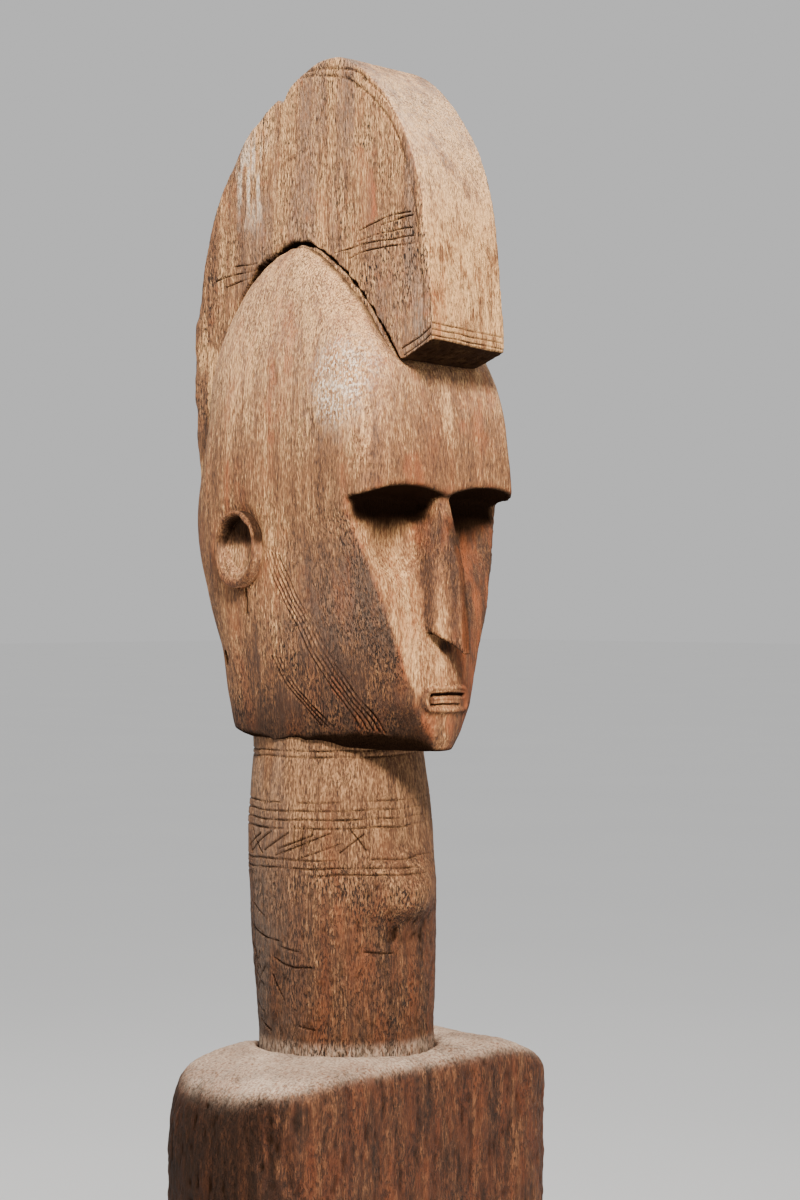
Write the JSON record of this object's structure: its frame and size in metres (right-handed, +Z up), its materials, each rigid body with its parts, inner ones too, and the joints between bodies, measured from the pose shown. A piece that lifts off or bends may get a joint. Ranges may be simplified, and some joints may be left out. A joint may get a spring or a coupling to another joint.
{
  "type": "carved ancestor figure",
  "caption": "Standing ancestor figure carved in weathered hardwood, with a sagittal crest, a flat heart-shaped face, a long ringed neck and a squared shoulder block",
  "frame": {"origin": "middle of the plinth's flat underside, on the ground", "axes": "+Z up along the figure, -Y the way the face looks, +X to the figure's left"},
  "size_m": [0.252, 0.236, 1.224],
  "materials": {
    "weathered_wood": "dry weathered hardwood with open grain, worn pale on the edges",
    "neck_wood": "dry weathered hardwood, redder and darker towards the shoulders",
    "body_wood": "dark red-brown eroded hardwood with pale dust on its upper faces",
    "plinth_wood": "dark red-brown eroded hardwood"
  },
  "bodies": {
    "root": {"base": "plinth_wood", "leg_right": "body_wood", "leg_left": "body_wood", "torso": "body_wood", "arm_right": "body_wood", "arm_left": "body_wood", "neck": "neck_wood", "head": "weathered_wood", "crest": "weathered_wood", "ear_right": "weathered_wood", "ear_left": "weathered_wood"}
  },
  "joints": []
}
